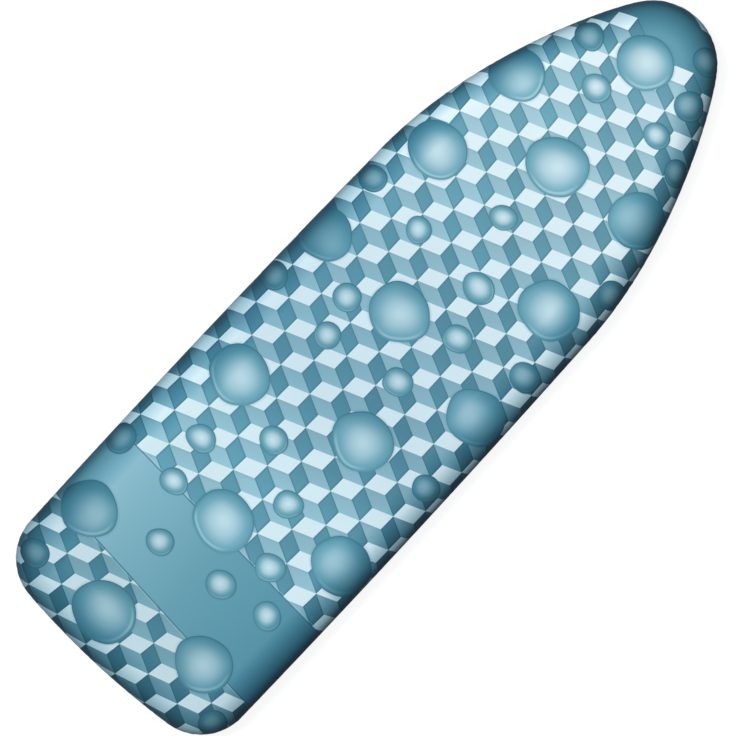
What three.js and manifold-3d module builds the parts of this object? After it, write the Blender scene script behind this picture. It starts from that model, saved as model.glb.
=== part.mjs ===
// A fitted ironing board cover: printed cotton over a foam pad and a felt underlay, held by a drawcord in its hem
// and by three hook-and-loop straps across its underside. It is modelled as it sits on the board, without the board.
// Millimetres. +X points to the nose, +Y to the left and +Z up. The origin is under the middle of the cover's
// length and width, on the surface that the cover lies on.
import * as THREE from "three";
import { mergeVertices } from "three/addons/utils/BufferGeometryUtils.js";
import Module from "manifold-3d";

const wasm = await Module();
wasm.setup();

// Outline, seen from above
const coverLength = 1224;
const noseRadius = 90;
const noseTurn = THREE.MathUtils.degToRad(52);
const taperLength = 442;
const taperNosePull = 48;
const taperShoulderPull = 184;
const shoulderHalfWidth = 197;
const flankBow = 3.2;
const heelHalfWidth = 200.3;
const heelCornerRadius = 78;
const heelCrownRadius = 1200;

// Clearances: between pieces that touch on the real cover, and what a cut runs past the piece that it cuts
const seatGap = 0.3;
const cutOverrun = 2;

// Cloth: its thickness, the padded roll along the upper edge, the turn under the board and the hem
const clothThickness = 0.8;
const rollWidth = 24;
const rollDrop = 22;
const turnRadius = 8;
const hemWidth = 61;
const gatherRise = 1;

// Padding and the space for the board
const boardSpace = 20;
const feltThickness = 3;
const feltMargin = 4;
const foamThickness = 6;

// Drawcord and the tape casing that it runs in
const cordDiameter = 3;
const cordPitch = 4;
const cordBendRadius = 9;
const casingWidth = 12;
const casingHeight = 8.8;
const casingCorner = 1.5;
const casingInset = 58;
const casingBoreRadius = 2.1;
const casingMouth = 28;

// Cord lock: a flat case round both cords, a sprung button across them and its spring
const lockStandoff = 7;
const lockTravel = 22;
const lockSideWall = 3.2;
const lockFaceWall = 1;
const lockFloor = 2.5;
const lockCorner = 3;
const lockEdge = 0.8;
const buttonWidth = 9;
const buttonWeb = 1;
const buttonHeel = 2.4;
const buttonTravel = 4;
const buttonNeck = 4;
const buttonReach = 6;
const buttonCorner = 1.5;
const springLength = 9;
const springDiameter = 4.8;
const springWire = 0.6;
const springTurns = 6;

// Moulded end on the cord's two ends
const bellLength = 14;
const bellWidth = 12;
const bellHeight = 7;
const bellEndWall = 4;
const bellCorner = 3;

// Straps: two halves that overlap at the middle, with a hook pad and a loop pad between them
const rearStrapShare = 0.225;
const middleStrapShare = 0.45;
const frontStrapShare = 0.675;
const strapWidth = 30;
const strapThickness = 1.6;
const strapLift = 1.2;
const strapOverlap = 70;
const padLength = 56;
const padWidth = 26;
const padThickness = 0.9;
const padCorner = 3;

// How finely the round stretches are cut, in flat steps
const outlineSteps = { nose: 10, taper: 8, flank: 4, corner: 9, crown: 3 };
const gatherShares = { nose: 1, taper: 0.5, flank: 0, corner: 1, crown: 0.5 };
const rollSteps = 3;
const turnSteps = 2;
const tubeSides = 8;
const bendSteps = 6;
const arcSteps = 5;
const coilSteps = 8;
const wireSides = 5;

// Heights, from the floor up
const cordHeight = casingHeight / 2;
const hemUnderside = casingHeight + seatGap + gatherRise;
const boardUnderside = hemUnderside + clothThickness + gatherRise + seatGap;
const feltUnderside = boardUnderside + boardSpace;
const foamUnderside = feltUnderside + feltThickness + seatGap;
const coverHeight = foamUnderside + foamThickness + seatGap + clothThickness;

const noseX = coverLength / 2;
const heelX = -coverLength / 2;

const printedCotton = new THREE.MeshStandardMaterial({ color: 0x93c1d1, roughness: 0.85 });
const whiteFoam = new THREE.MeshStandardMaterial({ color: 0xe9e4d2, roughness: 0.95 });
const greyFelt = new THREE.MeshStandardMaterial({ color: 0xb9bcbc, roughness: 1 });
const tealTape = new THREE.MeshStandardMaterial({ color: 0x4f90a8, roughness: 0.85 });
const whiteCord = new THREE.MeshStandardMaterial({ color: 0xe6ebec, roughness: 0.8 });
const darkPlastic = new THREE.MeshStandardMaterial({ color: 0x2b3f4a, roughness: 0.45 });
const springSteel = new THREE.MeshStandardMaterial({ color: 0xa9adb0, roughness: 0.3, metalness: 1 });
const strapElastic = new THREE.MeshStandardMaterial({ color: 0x6fa9bd, roughness: 0.9 });
const paleNylon = new THREE.MeshStandardMaterial({ color: 0xd3dee2, roughness: 0.9 });

const cover = new THREE.Group();

function addPiece(name, geometry, material) {
  const mesh = new THREE.Mesh(geometry, material);
  mesh.name = name;
  cover.add(mesh);
  return mesh;
}

// Closed skins from loops of points

function signedVolume(points, faces) {
  const normal = new THREE.Vector3();
  return faces.reduce((sum, [a, b, c]) => {
    normal.crossVectors(points[b], points[c]);
    return sum + points[a].dot(normal) / 6;
  }, 0);
}

// The two triangles of each step between one loop and the next.
function bandFaces(first, second, count) {
  const faces = [];
  for (let i = 0; i < count; i += 1) {
    const next = (i + 1) % count;
    faces.push([first + i, first + next, second + next]);
    faces.push([first + i, second + next, second + i]);
  }
  return faces;
}

// A flat lid over one loop, in a zigzag strip between the points that face each other across it.
function lidFaces(start, count) {
  const faces = [[start, start + 1, start + count - 1]];
  let low = start + 1;
  let high = start + count - 1;
  while (high - low > 1) {
    faces.push([low, low + 1, high]);
    low += 1;
    if (high - low > 1) {
      faces.push([low, high - 1, high]);
      high -= 1;
    }
  }
  return faces;
}

// Skins a row of equal loops. A ring of loops closes on itself, and any other row gets a lid at each end.
function skin(loops, isRing = false) {
  const count = loops[0].length;
  const points = loops.flat();
  const faces = [];
  for (let i = 0; i + 1 < loops.length; i += 1) {
    faces.push(...bandFaces(i * count, (i + 1) * count, count));
  }
  if (isRing) {
    faces.push(...bandFaces((loops.length - 1) * count, 0, count));
  } else {
    faces.push(...lidFaces(0, count).map(([a, b, c]) => [a, c, b]));
    faces.push(...lidFaces((loops.length - 1) * count, count));
  }
  const isInsideOut = signedVolume(points, faces) < 0;
  const outward = isInsideOut ? faces.map(([a, b, c]) => [a, c, b]) : faces;
  return new THREE.BufferGeometry().setFromPoints(points).setIndex(outward.flat());
}

// Joins and cuts

function solidOf(geometry) {
  const bare = geometry.clone();
  bare.deleteAttribute("normal");
  bare.deleteAttribute("uv");
  const merged = mergeVertices(bare);
  const mesh = new wasm.Mesh({
    numProp: 3,
    vertProperties: merged.getAttribute("position").array,
    triVerts: new Uint32Array(merged.index.array),
  });
  return new wasm.Manifold(mesh);
}

function cutAway(body, ...tools) {
  const cut = tools.reduce((left, tool) => left.subtract(solidOf(tool)), solidOf(body)).getMesh();
  const geometry = new THREE.BufferGeometry();
  geometry.setAttribute("position", new THREE.BufferAttribute(cut.vertProperties, 3));
  geometry.setIndex(new THREE.BufferAttribute(cut.triVerts, 1));
  return geometry;
}

function roundedRectangle(width, height, corner) {
  const shape = new THREE.Shape();
  const x = width / 2 - corner;
  const y = height / 2 - corner;
  shape.absarc(x, y, corner, 0, Math.PI / 2);
  shape.absarc(-x, y, corner, Math.PI / 2, Math.PI);
  shape.absarc(-x, -y, corner, Math.PI, Math.PI * 1.5);
  shape.absarc(x, -y, corner, Math.PI * 1.5, Math.PI * 2);
  return shape;
}

// A bar of a shape, centred on the origin, with its two ends softened by edge, where that is given.
function bar(shape, length, edge = 0) {
  const bevel = { bevelEnabled: edge > 0, bevelThickness: edge, bevelSize: edge, bevelOffset: -edge };
  const options = { depth: length - 2 * edge, curveSegments: arcSteps, bevelSegments: 2, ...bevel };
  return new THREE.ExtrudeGeometry(shape, options).translate(0, 0, edge - length / 2);
}

const alongX = (geometry) => geometry.rotateX(Math.PI / 2).rotateZ(Math.PI / 2);
const alongY = (geometry) => geometry.rotateX(-Math.PI / 2);

// The outline as places with their outward normals, along the left side from the tip to the heel

const noseArc = new THREE.ArcCurve(noseX - noseRadius, 0, noseRadius, 0, noseTurn, false);
const shoulder = new THREE.Vector2(noseX - taperLength, shoulderHalfWidth);
const taperStart = noseArc.getPoint(1);
const taper = new THREE.CubicBezierCurve(
  taperStart,
  taperStart.clone().addScaledVector(noseArc.getTangent(1), taperNosePull),
  new THREE.Vector2(shoulder.x + taperShoulderPull, shoulder.y),
  shoulder,
);

// The heel's corner arc touches the crown arc from inside.
const cornerCentreY = heelHalfWidth - heelCornerRadius;
const cornerToCrown = heelCrownRadius - heelCornerRadius;
const crownTurn = Math.asin(cornerCentreY / cornerToCrown);
const cornerCentreX = heelX + heelCrownRadius - cornerToCrown * Math.cos(crownTurn);
const cornerArc = new THREE.ArcCurve(
  cornerCentreX, cornerCentreY, heelCornerRadius, Math.PI / 2, Math.PI - crownTurn, false,
);
const flank = new THREE.QuadraticBezierCurve(
  shoulder,
  new THREE.Vector2(
    (shoulder.x + cornerCentreX) / 2,
    (shoulderHalfWidth + heelHalfWidth) / 2 + 2 * flankBow,
  ),
  new THREE.Vector2(cornerCentreX, heelHalfWidth),
);

function placesAlong(name, curve) {
  const steps = outlineSteps[name];
  return Array.from({ length: steps }, (_, i) => {
    const at = curve.getPoint(i / steps);
    const tangent = curve.getTangent(i / steps);
    return { at, normal: new THREE.Vector2(tangent.y, -tangent.x), gather: gatherShares[name] };
  });
}

// The left side's places, the last one at the given angle short of the middle of the heel.
function leftPlaces(stopAngle = 0) {
  const crownArc = new THREE.ArcCurve(
    heelX + heelCrownRadius, 0, heelCrownRadius, Math.PI - crownTurn, Math.PI - stopAngle, false,
  );
  const last = {
    at: crownArc.getPoint(1),
    normal: new THREE.Vector2(-Math.cos(stopAngle), Math.sin(stopAngle)),
    gather: gatherShares.crown,
  };
  return [
    ...placesAlong("nose", noseArc),
    ...placesAlong("taper", taper),
    ...placesAlong("flank", flank),
    ...placesAlong("corner", cornerArc),
    ...placesAlong("crown", crownArc),
    last,
  ];
}

const mirrored = ({ at, normal, gather }) => ({
  at: new THREE.Vector2(at.x, -at.y),
  normal: new THREE.Vector2(normal.x, -normal.y),
  gather,
});

const leftSide = leftPlaces();
leftSide.forEach((place, i) => {
  place.gather *= i % 2 ? -1 : 1;
});
const outline = [...leftSide, ...leftSide.slice(1, -1).reverse().map(mirrored)];

// The outline's loop at a distance in from the edge, with its gathers lifted by a share of their full rise.
function loopAt([inset, height, gatherShare = 0]) {
  return outline.map(({ at, normal, gather }) => {
    const rise = gather * gatherShare * gatherRise;
    return new THREE.Vector3(at.x - inset * normal.x, at.y - inset * normal.y, height + rise);
  });
}

// The left half-width of a built loop at a place along the cover.
function halfWidthAt(x, inset) {
  const line = leftSide.map(({ at, normal }) => at.clone().addScaledVector(normal, -inset));
  const next = line.findIndex((point) => point.x < x);
  const share = (line[next - 1].x - x) / (line[next - 1].x - line[next].x);
  return THREE.MathUtils.lerp(line[next - 1].y, line[next].y, share);
}

// Profile points, as the distance in from the edge and the height, on an elliptical arc that starts at its top
function arcProfile(centre, radii, from, to, steps) {
  return Array.from({ length: steps + 1 }, (_, i) => {
    const angle = THREE.MathUtils.lerp(from, to, i / steps);
    return [centre[0] - radii[0] * Math.sin(angle), centre[1] + radii[1] * Math.cos(angle)];
  });
}

const rollCentre = [rollWidth, coverHeight - rollDrop];
const turnCentre = [turnRadius, hemUnderside + turnRadius];

function rollProfile(depth) {
  return arcProfile(rollCentre, [rollWidth - depth, rollDrop - depth], 0, Math.PI / 2, rollSteps);
}

// One face of the cloth, from the edge of the flat top to the hem's inner edge.
function clothFace(depth) {
  const turn = turnRadius - depth;
  const hemHeight = hemUnderside + depth;
  return [
    ...rollProfile(depth),
    ...arcProfile(turnCentre, [turn, turn], Math.PI / 2, Math.PI, turnSteps),
    [(turnRadius + hemWidth) / 2, hemHeight, 0.5],
    [hemWidth, hemHeight, 1],
  ];
}

function makeCloth() {
  const profile = [...clothFace(0), ...clothFace(clothThickness).reverse()];
  addPiece("top_cover", skin(profile.map(loopAt)), printedCotton);
}

// Where the line from one profile point to the next passes a height.
function pointAtHeight(profile, height) {
  const next = profile.findIndex(([, z]) => z < height);
  const [inset, z] = profile[next - 1];
  const [nextInset, nextZ] = profile[next];
  return [THREE.MathUtils.mapLinear(height, z, nextZ, inset, nextInset), height];
}

function makePadding() {
  const underCloth = rollProfile(clothThickness).map(([inset, z]) => [inset + seatGap, z - seatGap]);
  const foamEdge = pointAtHeight(underCloth, foamUnderside);
  const foamProfile = [...underCloth.filter(([, z]) => z > foamUnderside), foamEdge];
  addPiece("foam_pad", skin(foamProfile.map(loopAt)), whiteFoam);

  const feltInset = foamEdge[0] + feltMargin;
  const feltProfile = [
    [feltInset, feltUnderside + feltThickness],
    [feltInset, feltUnderside],
  ];
  addPiece("felt_underlay", skin(feltProfile.map(loopAt)), greyFelt);
}

// Tubes along the hem

// One loop of a section at a place: across runs along the place's outward normal, and up is height.
function sectionLoop({ at, normal }, section) {
  return section.map(([across, up]) => {
    return new THREE.Vector3(at.x + across * normal.x, at.y + across * normal.y, up);
  });
}

function roundSection(radius, height) {
  return Array.from({ length: tubeSides }, (_, i) => {
    const angle = ((i + 0.5) / tubeSides) * 2 * Math.PI;
    return [radius * Math.cos(angle), height + radius * Math.sin(angle)];
  });
}

const movedIn = (place, inset) => ({ ...place, at: place.at.clone().addScaledVector(place.normal, -inset) });
const bothSides = (left) => [...left.slice(1).reverse().map(mirrored), ...left];

const hemCrownRadius = heelCrownRadius - casingInset;
const hemHeelX = heelX + casingInset;

function makeCasing() {
  const x = casingWidth / 2;
  const wall = [
    [x, cordHeight + casingCorner],
    [x - casingCorner, casingHeight],
    [casingCorner - x, casingHeight],
    [-x, cordHeight + casingCorner],
    [-x, casingCorner],
    [casingCorner - x, 0],
    [x - casingCorner, 0],
    [x, casingCorner],
  ];
  const bore = roundSection(casingBoreRadius, cordHeight);
  const left = leftPlaces(Math.asin(casingMouth / 2 / hemCrownRadius));
  const places = bothSides(left.map((place) => movedIn(place, casingInset)));
  const outside = places.map((place) => sectionLoop(place, wall));
  const inside = places.map((place) => sectionLoop(place, bore)).reverse();
  addPiece("hem_casing", skin([...outside, ...inside], true), tealTape);
}

const lockLength = buttonWidth + 2 * seatGap + 2 * lockSideWall;
const lockHeelFace = hemHeelX + cordBendRadius + lockStandoff;
const bellHeelFace = lockHeelFace + lockLength + lockTravel + seatGap;
const cordEndX = bellHeelFace + bellLength - bellEndWall - seatGap;

// The cord runs round the hem, leaves the casing at the heel, turns to the nose and ends in the moulded end.
function makeDrawcord() {
  const bendY = cordPitch / 2 + cordBendRadius;
  const hem = leftPlaces(Math.asin(bendY / hemCrownRadius)).map((place) => movedIn(place, casingInset));
  const bend = Array.from({ length: bendSteps }, (_, i) => {
    const angle = ((i + 1) / bendSteps) * (Math.PI / 2);
    const normal = new THREE.Vector2(-Math.cos(angle), -Math.sin(angle));
    const centre = new THREE.Vector2(hemHeelX + cordBendRadius, bendY);
    return { at: centre.addScaledVector(normal, cordBendRadius), normal };
  });
  const end = { at: new THREE.Vector2(cordEndX, cordPitch / 2), normal: new THREE.Vector2(0, -1) };
  const section = roundSection(cordDiameter / 2, cordHeight);
  const loops = bothSides([...hem, ...bend, end]).map((place) => sectionLoop(place, section));
  addPiece("drawcord", skin(loops), whiteCord);
}

// The room that both cords need side by side, in a hole that runs along X
const cordRoomHeight = cordDiameter + 2 * seatGap;
const cordRoomWidth = cordPitch + cordRoomHeight;
const lockCentreX = lockHeelFace + lockLength / 2;
const buttonHeight = cordRoomHeight + 2 * buttonWeb;
const boreWidth = buttonWidth + 2 * seatGap;
const boreHeight = buttonHeight + 2 * seatGap;
const lockHeight = boreHeight + 2 * lockFaceWall;
const buttonHeelY = -cordRoomWidth / 2 - buttonHeel;
const boreFloorY = buttonHeelY - springLength - 2 * seatGap;
const rimY = cordRoomWidth / 2 + buttonTravel + buttonNeck;

function cordHole(width, length) {
  return alongX(bar(roundedRectangle(width, cordRoomHeight, cordRoomHeight / 2), length));
}

function makeCordLock() {
  const lockWidth = rimY - boreFloorY + lockFloor;
  const lockCentreY = (rimY + boreFloorY - lockFloor) / 2;
  const shell = bar(roundedRectangle(lockLength, lockWidth, lockCorner), lockHeight, lockEdge);
  shell.translate(lockCentreX, lockCentreY, cordHeight);
  const boreLength = rimY + cutOverrun - boreFloorY;
  const bore = alongY(bar(roundedRectangle(boreWidth, boreHeight, buttonCorner + seatGap), boreLength));
  bore.translate(lockCentreX, boreFloorY + boreLength / 2, cordHeight);
  const hole = cordHole(cordRoomWidth, lockLength + 2 * cutOverrun).translate(lockCentreX, 0, cordHeight);
  addPiece("cord_lock_body", cutAway(shell, bore, hole), darkPlastic);

  const buttonLength = rimY + buttonReach - buttonHeelY;
  const stem = alongY(bar(roundedRectangle(buttonWidth, buttonHeight, buttonCorner), buttonLength, lockEdge));
  stem.translate(lockCentreX, buttonHeelY + buttonLength / 2, cordHeight);
  const slot = cordHole(cordRoomWidth + buttonTravel, buttonWidth + 2 * cutOverrun);
  slot.translate(lockCentreX, buttonTravel / 2, cordHeight);
  addPiece("cord_lock_button", cutAway(stem, slot), darkPlastic);

  // The coil's path and its tube: one open helix between the button's heel and the floor of its bore.
  const coilRadius = (springDiameter - springWire) / 2;
  const coilLength = springLength - springWire;
  const steps = springTurns * coilSteps;
  const turnAngle = (2 * Math.PI) / coilSteps;
  const climb = coilLength / steps / turnAngle;
  const loops = Array.from({ length: steps + 1 }, (_, i) => {
    const out = new THREE.Vector3(Math.cos(i * turnAngle), 0, Math.sin(i * turnAngle));
    const along = new THREE.Vector3(-out.z * coilRadius, climb, out.x * coilRadius).normalize();
    const side = new THREE.Vector3().crossVectors(along, out);
    const y = buttonHeelY - seatGap - springLength + springWire / 2 + (coilLength * i) / steps;
    const centre = new THREE.Vector3(lockCentreX, y, cordHeight).addScaledVector(out, coilRadius);
    return Array.from({ length: wireSides }, (_side, j) => {
      const angle = (j / wireSides) * 2 * Math.PI;
      const point = centre.clone().addScaledVector(out, (springWire / 2) * Math.cos(angle));
      return point.addScaledVector(side, (springWire / 2) * Math.sin(angle));
    });
  });
  addPiece("cord_lock_spring", skin(loops), springSteel);
}

function makeCordEnd() {
  const centreX = bellHeelFace + bellLength / 2;
  const outer = alongX(bar(roundedRectangle(bellWidth, bellHeight, bellCorner), bellLength, lockEdge));
  outer.translate(centreX, 0, cordHeight);
  const pocketLength = bellLength - bellEndWall + cutOverrun;
  const pocket = cordHole(cordRoomWidth, pocketLength);
  pocket.translate(bellHeelFace - cutOverrun + pocketLength / 2, 0, cordHeight);
  addPiece("cord_end", cutAway(outer, pocket), darkPlastic);
}

// A flat strap from one side to past the middle, with round ends. Its round root lies against the casing.
function strapHalf(rootY, endY, height) {
  const run = new THREE.Shape();
  const radius = strapThickness / 2;
  const left = Math.min(rootY, endY) + radius;
  const right = Math.max(rootY, endY) - radius;
  run.absarc(right, height, radius, -Math.PI / 2, Math.PI / 2);
  run.absarc(left, height, radius, Math.PI / 2, Math.PI * 1.5);
  return alongX(bar(run, strapWidth));
}

function makeStraps() {
  const hookHeight = strapLift + strapThickness / 2;
  const hookPadHeight = hookHeight + strapThickness / 2 + seatGap + padThickness / 2;
  const loopPadHeight = hookPadHeight + padThickness + seatGap;
  const loopHeight = loopPadHeight + padThickness / 2 + seatGap + strapThickness / 2;
  const padOutline = roundedRectangle(padWidth, padLength, padCorner);
  const placeShares = { rear: rearStrapShare, middle: middleStrapShare, front: frontStrapShare };
  for (const [place, share] of Object.entries(placeShares)) {
    const x = heelX + share * coverLength;
    const casingInside = casingInset + casingWidth / 2;
    const reach = Math.min(
      halfWidthAt(x - strapWidth / 2, casingInside),
      halfWidthAt(x + strapWidth / 2, casingInside),
    );
    const rootY = reach - seatGap;
    const endY = strapOverlap / 2;
    const loopHalf = strapHalf(-rootY, endY, loopHeight).translate(x, 0, 0);
    const hookHalf = strapHalf(rootY, -endY, hookHeight).translate(x, 0, 0);
    const loopPad = bar(padOutline, padThickness).translate(x, 0, loopPadHeight);
    const hookPad = bar(padOutline, padThickness).translate(x, 0, hookPadHeight);
    addPiece(`${place}_strap_loop_half`, loopHalf, strapElastic);
    addPiece(`${place}_strap_loop_pad`, loopPad, paleNylon);
    addPiece(`${place}_strap_hook_half`, hookHalf, strapElastic);
    addPiece(`${place}_strap_hook_pad`, hookPad, paleNylon);
  }
}

makeCloth();
makePadding();
makeCasing();
makeDrawcord();
makeCordLock();
makeCordEnd();
makeStraps();

export default cover;
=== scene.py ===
"""The looks of a fitted ironing board cover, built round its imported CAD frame. Lengths are in metres.

+X points to the nose, +Y to the left and +Z up. The cover lies on z = 0 in the shape that its board gives it.
"""

import math
import random
from functools import cache, partialmethod

import bmesh
import bpy
import numpy as np
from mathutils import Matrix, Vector


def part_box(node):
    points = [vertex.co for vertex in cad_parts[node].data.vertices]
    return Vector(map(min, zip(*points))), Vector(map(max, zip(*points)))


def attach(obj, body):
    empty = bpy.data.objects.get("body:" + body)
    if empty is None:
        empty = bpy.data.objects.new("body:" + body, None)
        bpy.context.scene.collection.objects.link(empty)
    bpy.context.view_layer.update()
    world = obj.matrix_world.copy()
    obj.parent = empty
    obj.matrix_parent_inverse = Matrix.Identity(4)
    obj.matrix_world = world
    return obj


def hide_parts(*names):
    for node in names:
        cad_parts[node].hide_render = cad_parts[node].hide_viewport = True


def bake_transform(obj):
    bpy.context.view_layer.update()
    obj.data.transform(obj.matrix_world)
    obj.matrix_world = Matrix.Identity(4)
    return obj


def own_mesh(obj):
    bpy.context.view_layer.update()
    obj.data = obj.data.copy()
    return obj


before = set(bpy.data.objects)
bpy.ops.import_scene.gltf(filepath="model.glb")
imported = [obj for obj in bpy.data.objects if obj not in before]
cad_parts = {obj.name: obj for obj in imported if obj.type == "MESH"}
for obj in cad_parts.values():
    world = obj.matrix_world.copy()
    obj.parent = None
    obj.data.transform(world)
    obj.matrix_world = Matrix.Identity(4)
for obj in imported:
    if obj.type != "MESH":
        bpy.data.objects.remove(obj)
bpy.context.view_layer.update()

rng = random.Random(48)
wave_rng = np.random.default_rng(11)

# Outline, seen from above
COVER_LENGTH = 1.224
NOSE_RADIUS = 0.090
NOSE_TURN = math.radians(52)
TAPER_LENGTH = 0.442
TAPER_NOSE_PULL = 0.048
TAPER_SHOULDER_PULL = 0.184
SHOULDER_HALF_WIDTH = 0.197
FLANK_BOW = 0.0032
HEEL_HALF_WIDTH = 0.2003
HEEL_CORNER_RADIUS = 0.078
HEEL_CROWN_RADIUS = 1.2
NOSE_X = COVER_LENGTH / 2
HEEL_X = -COVER_LENGTH / 2
FLIP = np.array([1.0, -1.0])

# Places on the nose, the taper, the flank, the corner and the crown, and how strongly the hem gathers there
FINE = (34, 84, 104, 44, 30)
MEDIUM = (14, 24, 24, 14, 8)
FOLDED = (70, 190, 360, 84, 110)
GATHER_SHARES = (1.0, 0.6, 0.15, 1.0, 0.5)

# Cloth: its profile, its gathers, which start at a share of the roll, and the dips in its flat top
COVER_HEIGHT = 0.0426
CLOTH_THICKNESS = 0.0008
ROLL_WIDTH = 0.050
ROLL_DROP = 0.0235
ROLL_POWER = 2.25
ROLL_STEPS = 22
TURN_RADIUS = 0.008
HEM_UNDERSIDE = 0.0101
HEM_WIDTH = 0.061
GATHER_RISE = 0.0010
GATHER_WAVE = 0.013
SLOW_GATHER_WAVE = 0.034
GATHER_START = 0.75
GATHER_POWER = 0.7
TOP_COLUMNS = 44
DIP_DEPTH = 0.0004
FINE_DIP_DEPTH = 0.0002
DIP_FADE = 0.05

# Layers under the cloth
FELT_UNDERSIDE = 0.0322
FELT_THICKNESS = 0.003
FELT_SOFT_EDGE = 0.0007
FELT_WOBBLE = 0.0005
FOAM_UNDERSIDE = 0.0355
FOAM_SOFT_EDGE = 0.0006
EDGE_STEP = 0.0005
LAYER_GAP = 0.0003
LAYER_WAVE = 0.05
LAYER_COLUMNS = 12

# Casing and cord
CASING_INSET = 0.058
CASING_WIDTH = 0.012
CASING_HEIGHT = 0.0088
CASING_MOUTH = 0.028
CASING_SQUARENESS = 0.62
CASING_EASE = 0.00055
CASING_DROP = 0.0005
RUCK_WAVE = 0.0062
SLANT_WAVE = 0.010
SWELL_WAVE = 0.017
SWELL_RISE = 0.00045
RUCK_RISE = 0.0004
SLANT_RISE = 0.00022
TUBE_SIDES = 16
TUBE_GIRTH = 0.034
BORE_RADIUS = 0.0021
CORD_HEIGHT = 0.0044
CORD_DIAMETER = 0.003
CORD_PITCH = 0.004
CORD_BEND_RADIUS = 0.009
CORD_END_DEPTH = 0.0043
CORD_STEP = 0.0005
BRAID_PITCH = 0.006
BRAID_STRANDS = 4
BRAID_RISE = 0.00013

# The cord lock: its softened edges, and its spring with the floor that it stands on
SOFT_EDGE = 0.0002
SPRING_WIRE = 0.0006
SPRING_TURNS = 6
SPRING_STEPS = 28
SPRING_SIDES = 10

# Straps: ribs along them, picks across, and sealed ends that thin out
STRAP_WIDTH = 0.030
STRAP_RIBS = 12
STRAP_PICK = 0.0011
STRAP_TUCK = 0.0018
STRAP_SKIN = 0.0001
RIB_RISE = 0.00009
PICK_RISE = 0.00004
SEALED_ENDS = {0: (0.35, 0.985), 1: (0.8, 0.996), -2: (0.8, 0.996), -1: (0.35, 0.985)}

# Hook and loop pads
PAD_FACE = 0.00045
PAD_TRIM = 0.0006
PAD_CORNER = 0.003
PAD_SOFT_EDGE = 0.0004
PAD_BEVEL = 0.0001
HOOK_PITCH = 0.0013
HOOK_LEAN = 0.00016
HOOK_SPARE = 0.00003
HOOK_FLATNESS = 0.7
HOOK_ROWS_INSIDE = (0.0016, 0.0012)
HOOK_COLUMNS_INSIDE = (0.0014, 0.001)
# Height share, half size and how far it leans, from the hook's foot to its tip
HOOK_RINGS = ((-0.1, 0.00026, 0), (0.55, 0.0002, 0.2), (0.85, 0.00024, 1.0), (1.0, 0.0001, 1.6))
LOOP_HEIGHT = 0.00042
LOOPS_ACROSS = 40
LOOPS_ALONG = 86

# Stitches: length share, thickness and rise of each ring along a stitch
STITCH_LENGTH = 0.0024
STITCH_GAP = 0.0011
STITCH_RADIUS = 0.00028
STITCH_SIDES = 6
STITCH_FLATNESS = 0.8
STITCH_RINGS = ((0, 0.25, -0.5), (0.2, 0.9, 0.5), (0.5, 1, 0.8), (0.8, 0.9, 0.5), (1, 0.25, -0.5))
STITCH_INSET = 0.0013
ROOT_INSET = 0.001
ROOT_ROWS = (0.0022, 0.0046)
DOWN = (0, 0, -1)
UP = (0, 0, 1)

# The print's cubes: their steps near the heel and near the nose, one cube's corner, and those behind the band
PRINT_HEEL_X = -0.20
PRINT_NOSE_X = 0.45
HEEL_STEPS = ((0.03595, -0.03006), (-0.03839, -0.02736))
NOSE_STEPS = ((0.03218, -0.02477), (-0.03392, -0.02996))
CUBE_CORNER = (0.46473, -0.00260)
HEEL_PRINT_STEPS = ((0.03317, -0.03386), (-0.03624, -0.02352))
HEEL_CUBE_CORNER = (-0.58763, 0.05412)

# One cube as a hexagon with sides of 1: the directions of its faces, and its steps to its neighbours
HALF_HEIGHT = math.sqrt(3) / 2
WHITE_FACE = (0.5, -HALF_HEIGHT, 0)
LIGHT_FACE = (-1.0, 0.0, 0)
DARK_FACE = (0.5, HALF_HEIGHT, 0)
CELL_HIGH = (1.5, HALF_HEIGHT, 1.0)
CELL_LOW = (-1.5, -HALF_HEIGHT, -1.0)
CELL_STEPS = np.array([[1.5, -1.5], [HALF_HEIGHT, HALF_HEIGHT]])

# The plain band across the wide end: where its edges cross the middle, how far they lean, and their lines.
# The plain area at the nose lies between two places along the cover.
BAND_FRONT = (-0.3594, 0.0493)
BAND_REAR = (-0.4926, 0.0821)
BAND_LINE = 0.0009
BAND_HAIRLINE = 0.0006
BAND_HAIRLINE_AWAY = 0.0017
PLAIN_FROM_X = 0.532
PLAIN_TO_X = 0.606

# Bubbles: how many, their least and greatest radius, and the least room between them; then how they are
# drawn, with the middle and the spread of their shine's turn, and their shape and line
LARGE_BUBBLES = (16, 0.037, 0.042, 0.016)
SMALL_BUBBLES = (31, 0.0185, 0.0215, 0.015)
BUBBLE_TRIES = 30
BUBBLE_LEAST_DEPTH = 0.012
BUBBLE_EDGE_EASE = 0.02
BUBBLE_GROWTH = 1.04
BUBBLE_TURN = (-2.4, 0.5)
LARGE_RADIUS = 0.030
BUBBLE_PUSH = 0.006
BUBBLE_SQUEEZE = (1.05, 0.94, 0)
BUBBLE_LINE = 0.0026
BUBBLE_LINE_SOFTNESS = 0.0018
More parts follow.
